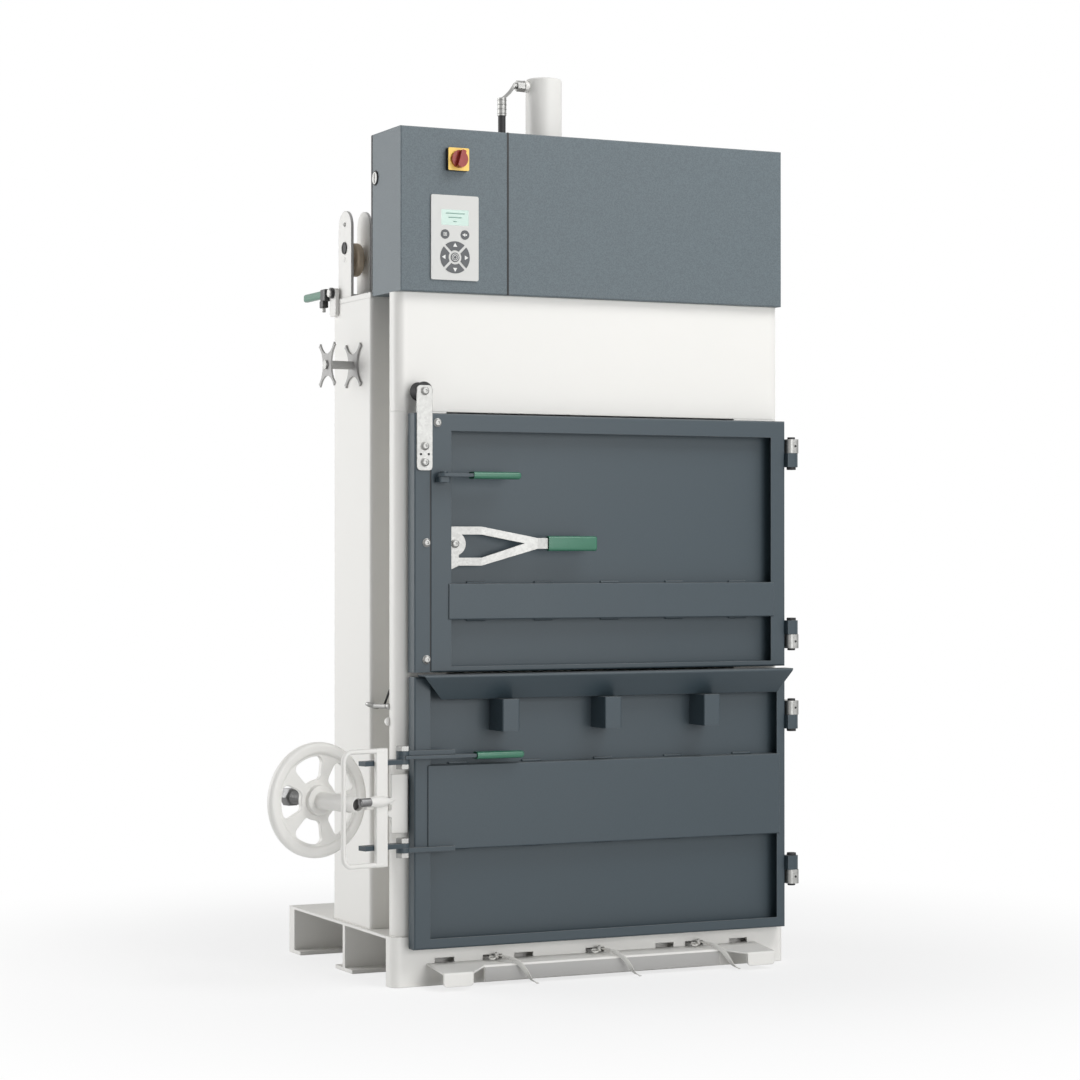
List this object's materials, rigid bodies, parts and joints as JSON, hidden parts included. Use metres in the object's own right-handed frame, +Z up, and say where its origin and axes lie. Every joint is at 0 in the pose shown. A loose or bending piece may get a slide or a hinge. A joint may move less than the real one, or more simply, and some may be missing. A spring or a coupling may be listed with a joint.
{
  "type": "vertical recycling baler",
  "caption": "Upright baling press: folded steel frame with a hydraulic cylinder on top, loading door above, bale door with a handwheel lock below, fork pockets in the base.",
  "frame": {"origin": "press axis at floor level, on the middle base flange", "axes": "+Z up along the press axis, -Y to the doors' side, +X to the hinge side"},
  "size_m": [1.2256, 0.719, 1.985],
  "materials": {
    "white_paint": "semi-gloss powder coat",
    "hood_paint": "textured powder coat",
    "door_paint": "fine textured powder coat",
    "black_paint": "satin",
    "zinc": "zinc plated, satin",
    "dark_steel": "oiled",
    "hard_chrome": "polished",
    "green_grip": "dipped, satin",
    "black_rubber": "matte",
    "tan_plastic": "satin",
    "switch_yellow": "satin",
    "switch_red": "gloss",
    "switch_black": "matte",
    "panel_face": "foil, satin",
    "display": "gloss",
    "keys": "foil, satin",
    "motor_grey": "satin",
    "strap": "woven"
  },
  "bodies": {
    "frame": {"base_front_beam": "white_paint", "base_frame": "white_paint", "front_posts": "white_paint", "header": "white_paint", "side_columns": "white_paint", "chamber_walls": "white_paint", "chamber_floor": "white_paint", "top_crossbeam": "white_paint", "press_barrel": "white_paint", "roller_bracket": "white_paint", "lock_keeper": "white_paint", "foot_bar": "white_paint", "control_cabinet": "hood_paint", "hydraulic_cover": "hood_paint", "ejector_bracket": "black_paint", "frame_bolts": "zinc", "hose_fitting": "zinc", "hinge_blocks": "zinc", "pressure_hose": "black_rubber", "switch_plate": "switch_yellow", "switch_base": "switch_black", "control_panel": "panel_face", "panel_display": "display", "panel_keys": "keys", "oil_tank": "motor_grey", "pump_motor": "motor_grey", "left_strap": "strap", "middle_strap": "strap", "right_strap": "strap"},
    "press": {"piston_rod": "hard_chrome", "platen": "white_paint"},
    "upper_door": {"upper_door_pan": "door_paint", "upper_lock_strip": "door_paint", "upper_door_stiffener": "door_paint", "interlock_plate": "zinc", "upper_door_fittings": "zinc", "upper_hinge_lugs": "door_paint"},
    "catch": {"catch_lever": "door_paint", "catch_grip": "green_grip"},
    "fork": {"fork_lever": "zinc", "fork_grip": "green_grip"},
    "interlock": {"interlock_roller": "black_rubber"},
    "lower_door": {"lower_door_pan": "door_paint", "lower_door_stiffener": "door_paint", "door_lip": "door_paint", "lower_door_brackets": "door_paint", "lock_bolts": "zinc", "lower_hinge_lugs": "door_paint"},
    "lock": {"lock_arms": "door_paint", "lock_yoke": "white_paint"},
    "lock_handle": {"lock_lever": "door_paint", "lock_grip": "green_grip"},
    "spindle": {"lock_spindle": "dark_steel"},
    "wheel": {"handwheel": "white_paint"},
    "switch": {"switch_knob": "switch_red"},
    "hood_key": {"hood_lock": "zinc"},
    "roller": {"guide_roller": "tan_plastic"},
    "star": {"strap_star": "white_paint"},
    "ejector": {"ejector_lever": "black_paint", "ejector_grip": "green_grip"}
  },
  "joints": [
    {"name": "press_slide", "type": "slide", "parent": "frame", "child": "press", "axis": [0, 0, -1], "range_m": [0, 0.56]},
    {"name": "upper_door_hinge", "type": "hinge", "parent": "frame", "child": "upper_door", "pos_m": [0.4745, -0.292, 0.95], "axis": [0, 0, 1], "range_deg": [0, 170]},
    {"name": "lower_door_hinge", "type": "hinge", "parent": "frame", "child": "lower_door", "pos_m": [0.4745, -0.292, 0.37], "axis": [0, 0, 1], "range_deg": [0, 170]},
    {"name": "catch_lever_pivot", "type": "hinge", "parent": "upper_door", "child": "catch", "pos_m": [-0.382, -0.312, 1.08], "axis": [0, 0, 1], "range_deg": [-80, 0]},
    {"name": "fork_lever_pivot", "type": "hinge", "parent": "upper_door", "child": "fork", "pos_m": [-0.346, -0.285, 0.935], "axis": [0, -1, 0], "range_deg": [0, 30]},
    {"name": "interlock_roller_spin", "type": "hinge", "parent": "upper_door", "child": "interlock", "pos_m": [-0.4195, -0.282, 1.256], "axis": [0, 1, 0], "continuous": true},
    {"name": "lock_swing", "type": "hinge", "parent": "lower_door", "child": "lock", "pos_m": [-0.471, -0.301, 0.49], "axis": [0, 0, 1], "range_deg": [0, 75]},
    {"name": "lock_lever_pivot", "type": "hinge", "parent": "lower_door", "child": "lock_handle", "pos_m": [-0.471, -0.301, 0.49], "axis": [0, 0, 1], "range_deg": [-80, 0]},
    {"name": "handwheel_turn", "type": "hinge", "parent": "lock", "child": "wheel", "pos_m": [-0.61709, -0.18386, 0.39552], "axis": [0.225, -0.9744, 0], "range_deg": [0, 1080]},
    {"name": "spindle_travel", "type": "slide", "parent": "lock", "child": "spindle", "axis": [0.225, -0.9744, 0], "range_m": [0, 0.018]},
    {"name": "main_switch_turn", "type": "hinge", "parent": "frame", "child": "switch", "pos_m": [-0.335, -0.287, 1.75], "axis": [0, 1, 0], "range_deg": [0, 90]},
    {"name": "hood_lock_turn", "type": "hinge", "parent": "frame", "child": "hood_key", "pos_m": [-0.4625, -0.129, 1.721], "axis": [1, 0, 0], "range_deg": [0, 90]},
    {"name": "guide_roller_spin", "type": "hinge", "parent": "frame", "child": "roller", "pos_m": [-0.437, 0.051, 1.563], "axis": [1, 0, 0], "continuous": true},
    {"name": "strap_star_spin", "type": "hinge", "parent": "frame", "child": "star", "pos_m": [-0.5, -0.015, 1.325], "axis": [1, 0, 0], "continuous": true},
    {"name": "ejector_lever_lift", "type": "hinge", "parent": "frame", "child": "ejector", "pos_m": [-0.477, 0.093, 1.492], "axis": [1, 0, 0], "range_deg": [0, 75]}
  ],
  "couplings": [
    {"joint": "spindle_travel", "follows": "handwheel_turn", "m_per_rad": 0.00095493}
  ]
}
